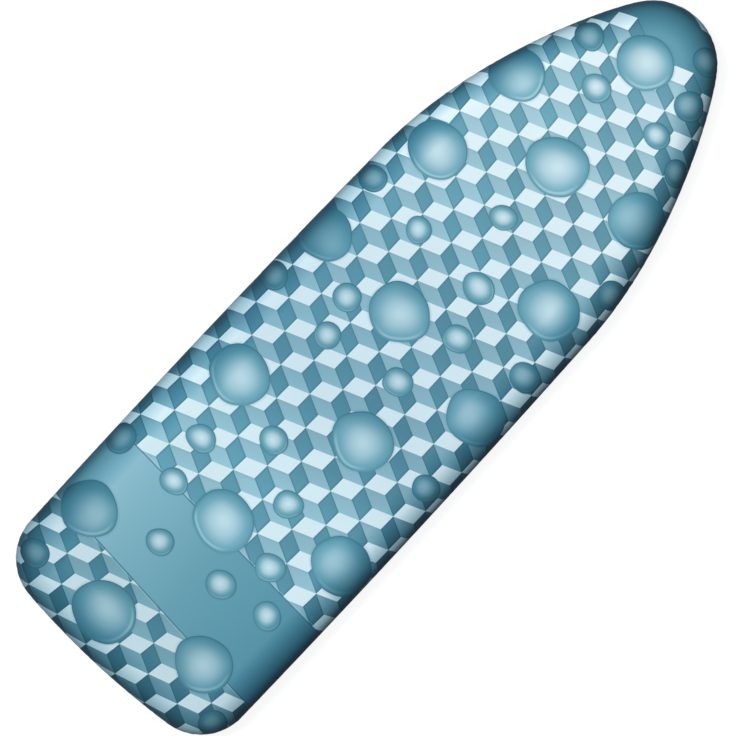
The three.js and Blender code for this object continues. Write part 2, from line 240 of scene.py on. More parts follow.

# The print's colours: the faces at the nose, and the painted shade by x that darkens them towards the heel
DARK_COLOUR = "#68a1b4"
LIGHT_COLOUR = "#a0c8d6"
WHITE_COLOUR = "#e5f5fb"
PLAIN_COLOUR = "#629daf"
LENGTH_SHADE_TONES = (
    (-0.46, "#b3d1d9"), (-0.38, "#e8f9fe"), (-0.26, "#e8f9fe"),
    (-0.12, "#c6dce6"), (0.04, "#d0e2ea"), (0.36, "#ffffff"),
)
LIGHT_LENGTH_SHADE_SHARE = 0.85
WHITE_LENGTH_SHADE_SHARE = 0.38
BUBBLE_LENGTH_SHADE_SHARE = 0.55
BAND_TONES = ((0.10, "#5494ab"), (0.45, "#68a4b7"), (0.70, "#7db5c7"), (0.88, "#90c4d5"))
LARGE_TONES = ((0.10, "#cae6ef"), (0.36, "#b2d5e1"), (0.64, "#80b6c8"), (0.92, "#5797ab"))
SMALL_TONES = ((0.10, "#d5ebf6"), (0.36, "#bad9e3"), (0.64, "#75adbe"), (0.92, "#5090a3"))
# Painted shade along the cover's edge: its tones from the edge inwards, over a width that is less on the
# taper's left side and more at the left corner
EDGE_SHADE_TONES = (
    (0.0, "#385766"), (0.12, "#597a87"), (0.28, "#8aadb5"),
    (0.52, "#b3cdd6"), (0.80, "#deecf0"), (1.0, "#ffffff"),
)
EDGE_SHADE_WIDTH = 0.05
TAPER_SHADE_PACE = 0.3
TAPER_SHADE_ALONG = (0.05, 0.25, 0.42, 0.52)
CORNER_SHADE_PACE = 0.3
CORNER_SHADE_SIDE = (-0.7, 0.7)

# Light and camera
SKY_SIDE = (-0.30, 0.66, 0.84)
SKY_STRENGTH = (0.01, 0.34)
SUN_ENERGY = 2.1
SUN_SIDE = (-0.41, 0.91, 0)
SUN_TILT = math.radians(38)
SUN_SPREAD = math.radians(16)
LAMP_ENERGY = 8.4
LAMP_PLACE = (0.35, 0.50, 1.75)
LAMP_TARGET = (0.35, 0, 0)
LAMP_SIZE = 0.7
PHOTO_PIXEL = 1.387e-3
PHOTO_SIZE = 736
VIEW_CENTRE = (-0.0545, 0.0021, 0.020)
VIEW_TURN = math.radians(-47)
SENSOR_WIDTH = 36
LENS = 200


def srgb(code):
    """A colour written as in a drawing program, as Blender's linear one."""
    values = [int(code[i : i + 2], 16) / 255 for i in (1, 3, 5)]
    return (*(v / 12.92 if v <= 0.04045 else ((v + 0.055) / 1.055) ** 2.4 for v in values), 1.0)


def grey(value):
    return (value, value, value, 1.0)


# Outline


def arc(centre, radius, start, end, count):
    angles = np.linspace(start, end, count, endpoint=False)
    out = np.stack([np.cos(angles), np.sin(angles)], 1)
    return np.array(centre) + radius * out, out


def bezier(controls, count):
    """Points along a Bezier curve with their outward normals, on the left side from nose to heel."""
    share = np.linspace(0, 1, count, endpoint=False)[:, None]

    def blend_of(points):
        top = len(points) - 1
        return sum(math.comb(top, k) * (1 - share) ** (top - k) * share**k * p for k, p in enumerate(points))

    ahead = unit_rows(blend_of([b - a for a, b in zip(controls, controls[1:])]))
    return blend_of(controls), np.stack([ahead[:, 1], -ahead[:, 0]], 1)


def left_places(spacing, stop_angle):
    """The left side from tip to heel: places, outward normals, and how strongly the hem gathers there."""
    nose_centre = np.array([NOSE_X - NOSE_RADIUS, 0.0])
    nose_end = np.array([math.cos(NOSE_TURN), math.sin(NOSE_TURN)])
    taper_start = nose_centre + NOSE_RADIUS * nose_end
    taper_pull = taper_start + TAPER_NOSE_PULL * np.array([-nose_end[1], nose_end[0]])
    shoulder = np.array([NOSE_X - TAPER_LENGTH, SHOULDER_HALF_WIDTH])
    shoulder_pull = shoulder + (TAPER_SHOULDER_PULL, 0)
    corner_y = HEEL_HALF_WIDTH - HEEL_CORNER_RADIUS
    corner_to_crown = HEEL_CROWN_RADIUS - HEEL_CORNER_RADIUS
    crown_turn = math.asin(corner_y / corner_to_crown)
    crown_x = HEEL_X + HEEL_CROWN_RADIUS
    corner_x = crown_x - corner_to_crown * math.cos(crown_turn)
    flank_end = np.array([corner_x, HEEL_HALF_WIDTH])
    flank_middle = (shoulder + flank_end) / 2 + (0, 2 * FLANK_BOW)
    turned = math.pi - crown_turn
    nose, taper, flank, corner, crown = spacing
    stretches = (
        arc(nose_centre, NOSE_RADIUS, 0, NOSE_TURN, nose),
        bezier([taper_start, taper_pull, shoulder_pull, shoulder], taper),
        bezier([shoulder, flank_middle, flank_end], flank),
        arc((corner_x, corner_y), HEEL_CORNER_RADIUS, math.pi / 2, turned, corner),
        arc((crown_x, 0.0), HEEL_CROWN_RADIUS, turned, math.pi - stop_angle, crown),
    )
    last = np.array([-math.cos(stop_angle), math.sin(stop_angle)])
    at = np.vstack([*(s[0] for s in stretches), (crown_x, 0.0) + HEEL_CROWN_RADIUS * last])
    normal = np.vstack([*(s[1] for s in stretches), last])
    gather = np.repeat(GATHER_SHARES, spacing)
    return at, normal, np.append(gather, gather[-1])


def both_sides(spacing, stop_angle=0.0):
    """What left_places gives, each with the same for the right side."""
    at, normal, gather = left_places(spacing, stop_angle)
    return (at, at * FLIP), (normal, normal * FLIP), (gather, gather)


def whole_outline(spacing):
    """The closed outline: down the left side and back up the right one."""
    return [np.concatenate([left, right[-2:0:-1]]) for left, right in both_sides(spacing)]


def open_outline(spacing, stop_angle):
    """The outline as one line that starts and ends beside the middle of the heel, by way of the nose."""
    return [np.concatenate([right[:0:-1], left]) for left, right in both_sides(spacing, stop_angle)]


def unit_rows(vectors):
    return vectors / np.linalg.norm(vectors, axis=1)[:, None]


def running_length(at, closed=False):
    """How far along a line each of its points is, and its whole length."""
    steps = np.linalg.norm(np.diff(np.vstack([at, at[:1]]), axis=0), axis=1)
    total = steps.sum() if closed else steps[:-1].sum()
    return np.concatenate([[0], np.cumsum(steps[:-1])]), total


def folds(along, total, wavelength, count=7):
    """An uneven wave along a loop, between about -1 and 1."""
    base = total / wavelength
    wave = np.zeros(len(along))
    for _ in range(count):
        turns = max(1, round(base * wave_rng.uniform(0.7, 1.35)))
        wave += np.sin(2 * math.pi * (turns * along / total + wave_rng.uniform()))
    return wave / math.sqrt(count)


def softened(values, width):
    """A running mean round a closed loop."""
    kernel = np.ones(2 * width + 1) / (2 * width + 1)
    return np.convolve(np.concatenate([values[-width:], values, values[:width]]), kernel, "valid")


# Meshes


def add_object(name, data):
    obj = bpy.data.objects.new(name, data)
    bpy.context.scene.collection.objects.link(obj)
    return obj


def new_object(name, points, faces, smooth=True):
    mesh = bpy.data.meshes.new(name)
    mesh.from_pydata([tuple(p) for p in points], [], [tuple(int(i) for i in f) for f in faces])
    turned = bmesh.new()
    turned.from_mesh(mesh)
    bmesh.ops.recalc_face_normals(turned, faces=turned.faces)
    turned.to_mesh(mesh)
    turned.free()
    mesh.polygons.foreach_set("use_smooth", [smooth] * len(mesh.polygons))
    return add_object(name, mesh)


def band(first, second, count):
    """Faces between two rings of points, each given by the number of its first point."""
    return [(first + i, first + (i + 1) % count, second + (i + 1) % count, second + i) for i in range(count)]


def skin(rings, count, base=0, closed=False):
    """Faces along rings of points, with two end caps, or closed with the last ring joined to the first."""
    starts = [base + i * count for i in range(rings)]
    faces = []
    for first, second in zip(starts, starts[1:] + starts[:1] if closed else starts[1:]):
        faces += band(first, second, count)
    if not closed:
        faces.append(tuple(range(base, base + count))[::-1])
        faces.append(tuple(range(starts[-1], starts[-1] + count)))
    return faces


def loft(name, rings, closed=False):
    """A mesh through rings of equal numbers of points."""
    return new_object(name, np.concatenate(rings), skin(len(rings), len(rings[0]), closed=closed))


def shell(rings, columns, closed=False):
    """A skin inside the outline: bands between its rings, and rows across that fill the first ring.

    Where it is closed, rows fill the last ring too, and their faces turn the other way.
    """
    count = len(rings[0])
    last = (len(rings) - 1) * count
    points, faces = list(np.concatenate(rings)), []
    for base in range(0, last, count):
        faces += [f[::-1] for f in band(base, base + count, count)]
    for base in (0, last) if closed else (0,):
        rows = [[base] * (columns + 1)]
        for i in range(1, count // 2):
            left, right = points[base + i], points[base + count - i]
            rows.append([base + i, *range(len(points), len(points) + columns - 1), base + count - i])
            points += [left + share * (right - left) for share in np.linspace(0, 1, columns + 1)[1:-1]]
        rows.append([base + count // 2] * (columns + 1))
        for upper, lower in zip(rows, rows[1:]):
            for quad in zip(upper, upper[1:], lower[1:], lower):
                corners = tuple(dict.fromkeys(quad))
                if len(corners) > 2:
                    faces.append(corners if base else corners[::-1])
    return np.array(points), faces


def ring_at(at, normal, inset, height):
    flat = at - np.asarray(inset).reshape(-1, 1) * normal
    return np.column_stack([flat, np.broadcast_to(height, len(flat))])


def rings_beside(path, side, far, high):
    """Rings round a path at the cord's height: how far each point lies to the side of it, and how high."""
    flat = path[:, None] + far[:, :, None] * side[:, None]
    return np.dstack([flat, CORD_HEIGHT + high])


def write_uv(obj, uv_of_points):
    layer = obj.data.uv_layers.new(name="Flat")
    index = np.zeros(len(obj.data.loops), int)
    obj.data.loops.foreach_get("vertex_index", index)
    layer.data.foreach_set("uv", np.asarray(uv_of_points, float)[index].ravel())


def write_attribute(obj, name, values, domain="POINT"):
    values = np.asarray(values, np.float32)
    kind, field = ("FLOAT", "value") if values.ndim == 1 else ("FLOAT_VECTOR", "vector")
    obj.data.attributes.new(name, kind, domain).data.foreach_set(field, values.ravel())


def box_of(node):
    """The low corner, the high corner and the middle of a CAD node's box."""
    low, high = (np.array(corner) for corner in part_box(node))
    return low, high, (low + high) / 2


def finish_piece(obj, material, node=None, body="root", bends=False):
    """Gives a piece its material, its body and the CAD node that it replaces.

    What bends belongs to a strap's hook half. Such a piece gets no body: its place is baked into its mesh
    instead.
    """
    obj.data.materials.append(material)
    if bends:
        _, high, (x, _, z) = box_of(body + "_hook_half")
        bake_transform(obj)
    else:
        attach(obj, body)
    if node:
        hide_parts(node)


# Materials


class Term:
    """A node's output. It can be added, multiplied and compared as a plain number or vector is."""

    def __init__(self, nodes, socket):
        self.nodes = nodes
        self.socket = socket

    def join(self, operation, other):
        is_number = self.socket.type == "VALUE"
        return (self.nodes.math if is_number else self.nodes.vector)(operation, self, other)

    __add__ = partialmethod(join, "ADD")
    __sub__ = partialmethod(join, "SUBTRACT")
    __mul__ = partialmethod(join, "MULTIPLY")
    __truediv__ = partialmethod(join, "DIVIDE")
    __lt__ = partialmethod(join, "LESS_THAN")
    __gt__ = partialmethod(join, "GREATER_THAN")

    def __rsub__(self, other):
        return self.nodes.math("SUBTRACT", other, self)

    def __rtruediv__(self, other):
        return self.nodes.math("DIVIDE", other, self)

    def __abs__(self):
        return self.nodes.math("ABSOLUTE", self)

    def length(self):
        return self.nodes.vector("LENGTH", self)

    def dot(self, other):
        return self.nodes.vector("DOT_PRODUCT", self, other)

    def parts(self):
        return [Term(self.nodes, part) for part in self.nodes.node("SeparateXYZ", self).outputs]


class Nodes:
    """A node tree, with short calls for the nodes that it uses most."""

    # A mix node's first colour, vector or number, and its output
    MIX_SOCKETS = {"RGBA": (6, 2), "VECTOR": (4, 1), "FLOAT": (2, 0)}

    def __init__(self, tree):
        self.tree = tree

    def feed(self, socket, value):
        """Links a term, or sets a number, a vector or a colour code."""
        if isinstance(value, Term):
            self.tree.links.new(value.socket, socket)
        else:
            socket.default_value = srgb(value) if isinstance(value, str) else value

    def node(self, kind, *inputs, **named):
        """A node with its first inputs in order. Names with a capital are inputs, the others are settings."""
        made = self.tree.nodes.new("ShaderNode" + kind)
        for key, value in named.items():
            if key[0].islower():
                setattr(made, key, value)
        for socket, value in zip(made.inputs, inputs):
            self.feed(socket, value)
        for key, value in named.items():
            if key[0].isupper():
                self.feed(made.inputs[key], value)
        return made

    def term(self, kind, *inputs, output=0, **named):
        return Term(self, self.node(kind, *inputs, **named).outputs[output])

    def math(self, operation, *inputs, clamp=False):
        return self.term("Math", *inputs, operation=operation, use_clamp=clamp)

    def most(self, first, *others):
        for other in others:
            first = self.math("MAXIMUM", first, other)
        return first

    def vector(self, operation, *inputs):
        output = "Value" if operation in ("LENGTH", "DOT_PRODUCT") else "Vector"
        return self.term("VectorMath", *inputs, operation=operation, output=output)

    def mix(self, share, first, second, blend="MIX", kind="RGBA"):
        made = self.node("Mix", share, data_type=kind, blend_type=blend)
        start, output = self.MIX_SOCKETS[kind]
        self.feed(made.inputs[start], first)
        self.feed(made.inputs[start + 1], second)
        return Term(self, made.outputs[output])

    def ramp(self, share, stops):
        made = self.node("ValToRGB", share)
        elements = made.color_ramp.elements
        for i in (0, -1):
            elements[i].position = stops[i][0]
            elements[i].color = srgb(stops[i][1])
        for position, code in stops[1:-1]:
            elements.new(position).color = srgb(code)
        return Term(self, made.outputs[0])

    def step(self, value, start, end):
        """0 at the start, 1 at the end and smooth between them. Either of the two may be the greater."""
        return self.term("MapRange", value, start, end, 0.0, 1.0, interpolation_type="SMOOTHSTEP")

    def tone(self, colour, code, value, start, end, strength=1.0):
        """A colour with another one mixed in, the more the nearer the value is to the end."""
        return self.mix(self.step(value, start, end) * strength, colour, code)

    def place(self):
        return self.term("TexCoord", output="Object")

    def uv(self):
        return self.term("UVMap", uv_map="Flat")

    def attribute(self, name, output="Fac"):
        return self.term("Attribute", attribute_name=name, output=output)

    def noise(self, place, scale, detail=2.0, **named):
        return self.term("TexNoise", Vector=place, Scale=scale, Detail=detail, **named)

    def flat_noise(self, place, scale, detail=2.0, **named):
        return self.noise(place, scale, detail, noise_dimensions="2D", **named)

    def weave(self, place, pitch):
        """The height of a plain weave with threads a pitch apart, from 0 to 1."""
        warp, weft, _ = (place * (math.pi / pitch, math.pi / pitch, 0)).parts()
        return self.math("SINE", warp) * self.math("SINE", weft) * 0.5 + 0.5

    def seen(self):
        """1 for the rays that show the background, and 0 for those that light the object."""
        rays = ("Camera", "Glossy", "Transmission")
        return self.most(*(self.term("LightPath", output=f"Is {ray} Ray") for ray in rays))


class Shader(Nodes):
    """A new material."""

    def __init__(self, name, roughness, specular=0.5, metallic=0.0):
        self.material = bpy.data.materials.new(name)
        self.material.use_nodes = True
        super().__init__(self.material.node_tree)
        self.surface = self.tree.nodes["Principled BSDF"]
        self.set("Roughness", roughness)
        self.set("Specular IOR Level", specular)
        self.set("Metallic", metallic)

    def set(self, name, value):
        self.feed(self.surface.inputs[name], value)

    def paint(self, colour, height, strength, distance):
        """Sets the colour and a bump, and gives the material."""
        self.set("Base Color", colour)
        self.set("Normal", self.term("Bump", Height=height, Strength=strength, Distance=distance))
        return self.material


def cube_terms(rear_steps, front_steps, corner):
    """The print's two cube coordinates as terms in 1, x, x*x, y and x*y, from the steps at two places."""
    heel = np.linalg.inv(np.array(rear_steps).T)
    nose = np.linalg.inv(np.array(front_steps).T)
    slope = (nose - heel) / (PRINT_NOSE_X - PRINT_HEEL_X)
    start = CELL_STEPS @ (heel - slope * PRINT_HEEL_X)
    slope = CELL_STEPS @ slope
    x, y = corner
    moved = start[:, 0] * x + slope[:, 0] * x * x / 2 + (start[:, 1] + slope[:, 1] * x) * y
    return np.stack([-moved, start[:, 0], slope[:, 0] / 2, start[:, 1], slope[:, 1]], 1)


CUBE_TERMS = cube_terms(HEEL_STEPS, NOSE_STEPS, CUBE_CORNER)
HEEL_CUBE_TERMS = cube_terms(HEEL_PRINT_STEPS, HEEL_PRINT_STEPS, HEEL_CUBE_CORNER)


def length_of_cube(x):
    """How far along the cover a cube is from x, near x, as factors of its two coordinates and a constant."""
    slopes = CUBE_TERMS @ np.array([[0, 0], [1, 0], [2 * x, 0], [0, 1], [0, x]])
    factors = np.linalg.inv(slopes)[0]
    return factors.tolist(), -float(factors @ CUBE_TERMS @ np.array([1, x, x * x, 0, 0]))


def find_cube(s, x, y, is_heel):
    """The middle of the cube that a place is in, and where in the cube it lies."""
    cubes = []
    for terms in (CUBE_TERMS, HEEL_CUBE_TERMS):
        axes = [y * (x * txy + ty) + (x * (x * txx + tx) + one) for one, tx, txx, ty, txy in terms.tolist()]
        cubes.append(s.term("CombineXYZ", *axes))
    cube = s.mix(is_heel, *cubes, kind="VECTOR")
    first = s.vector("WRAP", cube, CELL_HIGH, CELL_LOW)
    second = s.vector("WRAP", cube - (*CELL_HIGH[:2], 0), CELL_HIGH, CELL_LOW)
    inside = s.mix(second.length() < first.length(), first, second, kind="VECTOR")
    return cube - inside, inside


def paint_cubes(s, at, y, length_shade, centre, inside):
    """The cubes' colours, and whether a place is on a white face or on a dark one."""
    number = s.vector("FLOOR", centre * (1 / CELL_HIGH[0], 1 / HALF_HEIGHT, 0) + (0.5, 0.5, 0.5))
    chance = s.term("TexWhiteNoise", number, noise_dimensions="2D")
    white_dot, light_dot, dark_dot = (inside.dot(face) for face in (WHITE_FACE, LIGHT_FACE, DARK_FACE))
    paler = s.most(white_dot, light_dot)
    is_white = white_dot > s.most(light_dot, dark_dot)
    is_dark = dark_dot > paler

    def face(code, length_shade_share, share, low, high):
        """A face's colour with the painted shade along the cover, shaded from a low to a high grey by its
        share.
        """
        length_shaded = s.mix(length_shade_share, code, length_shade, "MULTIPLY")
        return s.mix(1.0, length_shaded, s.mix(share, grey(low), grey(high)), "MULTIPLY")

    # Dark and light faces shade from one side to the other, and differ a little from their neighbours. Both
    # are also painted lighter towards the cover's left side and darker towards its right, as painted shade
    # across the cover.
    along_dark, along_light = inside.dot((-HALF_HEIGHT, 0.5, 0)), inside.dot((-0.5, HALF_HEIGHT, 0))
    dark_share = along_dark * 0.40 + (chance * 0.5 + 0.20) + y * 3.0
    light_share = along_light * 0.45 + (chance * 0.35 + 0.20) + y * 1.2
    dark = face(DARK_COLOUR, 1.0, dark_share, 0.87, 1.12)
    light = face(LIGHT_COLOUR, LIGHT_LENGTH_SHADE_SHARE, light_share, 0.88, 1.12)
    white = face(WHITE_COLOUR, WHITE_LENGTH_SHADE_SHARE, s.flat_noise(at, 7.0, 1.0), 0.97, 1.05)
    cubes = s.mix(is_white, s.mix(is_dark, light, dark), white)

    # A thin dark line round each dark face, and a soft one under each white face
    edges = (HALF_HEIGHT - inside.dot(away) for away in ((HALF_HEIGHT, 0.5, 0), (0, 1.0, 0)))
    rim = s.math("MINIMUM", (dark_dot - paler) * 0.6, s.math("MINIMUM", *edges))
    cubes = s.tone(cubes, "#34707f", rim, 0.11, 0.02, is_dark * 0.45)
    is_light = s.math("SUBTRACT", 1.0, is_white + is_dark, clamp=True)
    return s.tone(cubes, "#7aa9b8", light_dot - white_dot, 0.30, 0.0, is_light * 0.35), is_white, is_dark


def paint_bubbles(s, at, rim, length_shade, base):
    """The print with bubbles over it, and where they are. Each mesh face knows the bubble nearest to it."""
    middle_x, middle_y, radius = s.attribute("bubble", "Vector").parts()
    warp = s.flat_noise(at, 22.0, 0.0, output=1) - (0.5, 0.5, 0.5)
    offset = at + warp * (BUBBLE_PUSH, BUBBLE_PUSH, 0) - s.term("CombineXYZ", middle_x, middle_y, 0.0)
    unit = s.term("VectorMath", offset * BUBBLE_SQUEEZE, operation="SCALE", Scale=1.0 / radius)
    out = unit.length()
    is_large = radius > LARGE_RADIUS
    large = s.ramp((unit - (-0.04, -0.03, 0)).length() * 0.9, LARGE_TONES)
    small = s.ramp((unit - (0.02, 0.05, 0)).length() * 0.9, SMALL_TONES)
    drop = s.mix(is_large, small, large)

    # An arc of shine inside the rim, a darker side towards the nose, and a dark line round it
    turn = s.attribute("bubble_turn")
    toward = s.term("CombineXYZ", s.math("COSINE", turn), s.math("SINE", turn), 0.0)
    facing = unit.dot(toward) / s.most(out, 0.01)
    shine = s.step(facing, 0.35, 0.98) * (is_large * 0.25 + 0.35)
    drop = s.tone(drop, "#b5dde7", abs(out - 0.88), 0.070, 0.012, shine)
    nose_side = unit.dot((0.95, 0.3, 0))
    drop = s.tone(drop, "#4c8a9d", nose_side, 0.3, 1.05, 0.4)
    line_from = 1.0 - BUBBLE_LINE / radius
    line_to = line_from + BUBBLE_LINE_SOFTNESS / radius
    drop = s.tone(drop, "#31717f", out, line_from, line_to, nose_side * 0.28 + 0.34)
    # The bubbles take part of the painted shade along the cover.
    drop = s.mix(BUBBLE_LENGTH_SHADE_SHARE, drop, length_shade, "MULTIPLY")
    # Painted shade: near the cover's edge the bubbles turn a flatter teal, the large ones most.
    drop = s.tone(drop, "#5ea6bd", rim, 0.065, 0.015, is_large * 0.38 + 0.16)
    is_bubble = out < 1.0
    return s.mix(is_bubble, s.tone(base, "#4c8ba0", out, 1.10, 1.0, 0.25), drop), is_bubble


def printed_cotton():
    s = Shader("printed_cotton", 0.82, 0.25)
    s.set("Sheen Weight", 0.06)
    at, rim = s.uv(), s.attribute("rim")
    x, y, _ = at.parts()
    # Painted shade along the cover: a multiplier by x that darkens the print towards the heel.
    length_shade = s.ramp(x * (1 / COVER_LENGTH) + 0.5, [(to / COVER_LENGTH + 0.5, code) for to, code in LENGTH_SHADE_TONES])
    front, rear = (x - (y * lean + start) for start, lean in (BAND_FRONT, BAND_REAR))
    is_heel = rear < 0.0
    centre, inside = find_cube(s, x, y, is_heel)
    base, is_white, is_dark = paint_cubes(s, at, y, length_shade, centre, inside)

    # The plain nose ends between cubes. The plain band has a dark line and a pale hairline along each edge.
    factors, constant = length_of_cube(PLAIN_FROM_X)
    beyond = centre.dot((*factors, 0)) + (is_heel * -10.0 + constant)
    is_tip = beyond > PLAIN_TO_X - PLAIN_FROM_X
    is_plain = (beyond > 0.0) - is_tip
    base = s.mix(is_plain, base, PLAIN_COLOUR)
    in_band = (front < 0.0) * (rear > 0.0)
    base = s.mix(in_band, base, s.ramp(y * 2.4 + 0.5, BAND_TONES))
    for line, outward in ((front, 1.0), (rear, -1.0)):
        base = s.mix((abs(line) < BAND_LINE) * 0.8, base, "#37748a")
        hair = abs(line - outward * BAND_HAIRLINE_AWAY)
        base = s.mix((hair < BAND_HAIRLINE) * 0.35, base, "#b7dbe6")
    colour, is_bubble = paint_bubbles(s, at, rim, length_shade, base)

    # Painted shade darkens the print to navy along the cover's edge, the dark faces most and the white ones
    # least.
    covered = s.most(is_bubble, in_band, is_plain)
    bare_white, bare_dark = (s.math("SUBTRACT", face, covered, clamp=True) for face in (is_white, is_dark))
    edge_shade_pace = bare_white * 0.55 + (bare_dark * -0.15 + 1.0) + is_bubble * -0.25
    edge_shade = s.ramp(rim * (1 / EDGE_SHADE_WIDTH) * edge_shade_pace, EDGE_SHADE_TONES)
    # The painted edge shade is eased on bare white faces and at the tip beyond the plain nose.
    edge_shade = s.mix(s.most(bare_white * 0.32, is_tip * 0.8), edge_shade, "#ebf7fb")
    slub = s.flat_noise(at * (1.0, 9.0, 0), 90.0)
    height = slub * 0.6 + s.weave(at, 0.0006)
    return s.paint(s.mix(1.0, colour, edge_shade, "MULTIPLY"), height, 0.25, 0.0001)


def foam_material():
    s = Shader("white_foam", 0.95, 0.2)
    cells = s.term("TexVoronoi", output="Distance", feature="SMOOTH_F1", Vector=s.place(), Scale=900.0)
    # Painted shade: the foam is darker in the hollow middle of its cells.
    return s.paint(s.mix(cells, "#cfcab8", "#efeada"), cells, 0.6, 0.0003)


def felt_material():
    s = Shader("needled_felt", 0.98, 0.15)
    place = s.place()
    fibres = s.noise(place * (1.0, 4.0, 1.0), 260.0, 6.0, Distortion=2.5)
    shade = s.mix(s.noise(place, 18.0, 3.0), "#aeb1b1", "#c6c8c7")
    shade = s.tone(shade, "#dfe1e0", fibres, 0.48, 0.72)
    shade = s.tone(shade, "#8d9496", fibres, 0.50, 0.30)
    punched = s.term("TexVoronoi", output="Distance", feature="F1", Vector=place, Scale=240.0)
    return s.paint(shade, punched * 0.8 + fibres, 0.7, 0.0005)


def tape_material():
    s = Shader("hem_tape", 0.88, 0.2)
    place = s.uv()
    weave = s.weave(place, 0.0007)
    shade = s.mix(s.flat_noise(place * (3.0, 1.0, 0), 45.0, 4.0), "#468aa3", "#5a9bb2")
    shade = s.mix(weave * 0.25, shade, "#3b7b93")
    # Painted shade: the tape is darker in the hollows of its gathers.
    hollow_shade = s.term("NewGeometry", output="Pointiness")
    return s.paint(s.tone(shade, "#2c6178", hollow_shade, 0.50, 0.44, 0.5), weave, 0.5, 0.00012)


def cord_material():
    s = Shader("braided_cord", 0.75)
    around, along, _ = s.uv().parts()
    around = around * (2 * math.pi * BRAID_STRANDS)
    forward = along * (2 * math.pi * BRAID_STRANDS / BRAID_PITCH)
    braid = s.most(s.math("COSINE", around + forward), s.math("COSINE", around - forward))
    # Painted shade: the cord is darker in the grooves between its strands.
    return s.paint(s.mix(s.step(braid, -0.6, 0.7), "#a9b7bd", "#eef2f3"), braid, 0.4, 0.0002)


@cache
def strap_material():
    s = Shader("woven_elastic", 0.85, 0.25)
    across, along, _ = s.uv().parts()
    ribs = s.math("COSINE", across * (2 * math.pi * STRAP_RIBS / STRAP_WIDTH))
    knit = ribs * s.math("SINE", along * (2 * math.pi / STRAP_PICK))
    # Painted shade and highlight: darker in the grooves between the ribs and lighter on the knit's crests;
    # the strap is also darker along its two edges.
    shade = s.mix(s.step(ribs, -1.0, 0.6), "#5c94a8", "#7db3c6")
    shade = s.tone(shade, "#94c4d3", knit, 0.0, 1.0, 0.3)
    shade = s.tone(shade, "#4f8599", abs(across), 0.0132, 0.0138, 0.5)
    return s.paint(shade, knit * 0.35 + ribs, 0.35, 0.0002)


@cache
def thread_material():
    s = Shader("thread", 0.6)
    twist = s.term("TexWave", output=1, Vector=s.place(), Scale=900.0)
    # Painted shade: the thread is darker in the grooves of its twist.
    return s.paint(s.mix(twist, "#bcd3dc", "#e4eef2"), twist, 0.3, 0.0001)


@cache
def pad_material(name, roughness, scale, strength):
    s = Shader(name, roughness)
    fuzz = s.noise(s.place(), scale, 3.0)
    return s.paint(s.mix(fuzz, "#b9c8ce", "#dfe8eb"), fuzz, strength, 0.0003)


@cache
def plastic_material():
    s = Shader("satin_plastic", 0.42)
    place = s.place()
    grain = s.noise(place, 2200.0)
    s.set("Roughness", grain * 0.2 + 0.34)
    return s.paint(s.mix(s.noise(place, 120.0), "#263944", "#31464f"), grain, 0.25, 0.0001)


def steel_material():
    s = Shader("spring_wire", 0.3, metallic=1.0)
    draw = s.noise(s.place(), 1500.0)
    s.set("Roughness", draw * 0.2 + 0.2)
    return s.paint(s.mix(draw, "#9b9fa2", "#c3c7c9"), draw, 0.1, 0.00005)


# Pieces


def superellipse_roll(count):
    """The roll's profile from the flat top to the side, as distances in from the edge and heights."""
    angles = np.linspace(0, math.pi / 2, count)
    across = np.sin(angles) ** (2 / ROLL_POWER)
    up = np.cos(angles) ** (2 / ROLL_POWER)
    return np.column_stack([ROLL_WIDTH * (1 - across), COVER_HEIGHT - ROLL_DROP * (1 - up)])


def cloth_profile():
    """From the flat top over the roll and the side, round the turn and along the hem to its edge."""
    angles = np.linspace(math.pi / 2, math.pi, 8)
    turn_height = HEM_UNDERSIDE + TURN_RADIUS + TURN_RADIUS * np.cos(angles)
    turn = np.column_stack([TURN_RADIUS * (1 - np.sin(angles)), turn_height])
    hem = np.linspace(TURN_RADIUS, HEM_WIDTH, 12)[1:]
    flat = np.column_stack([hem, np.full(len(hem), HEM_UNDERSIDE)])
    return np.vstack([superellipse_roll(ROLL_STEPS), turn, flat])


def outward_normals(profile):
    directions = unit_rows(np.gradient(profile, axis=0))
    return np.column_stack([directions[:, 1], -directions[:, 0]])


def draw_bubbles():
    """A seeded, even spread of large and small bubbles: middle, radius and a turn for its shine."""
    at, normal, _ = whole_outline(MEDIUM)
    found = []
    for wanted, low, high, least in (LARGE_BUBBLES, SMALL_BUBBLES):
        for _ in range(wanted):
            free = []
            for _ in range(BUBBLE_TRIES):
                x = rng.uniform(HEEL_X, NOSE_X)
                y = rng.uniform(-HEEL_HALF_WIDTH, HEEL_HALF_WIDTH)
                size = rng.uniform(low, high)
                steps = at - (x, y)
                near = (steps**2).sum(1).argmin()
                depth = steps[near] @ normal[near]
                room = min((math.dist((x, y), f[:2]) - f[2] - size for f in found), default=1.0)
                if depth >= BUBBLE_LEAST_DEPTH and room >= least:
                    free.append((min(room, depth + BUBBLE_EDGE_EASE), x, y, size))
            if free:
                found.append((*max(free)[1:], rng.gauss(*BUBBLE_TURN)))
    found = np.array(found)
    found[:, 2] *= BUBBLE_GROWTH
    return found


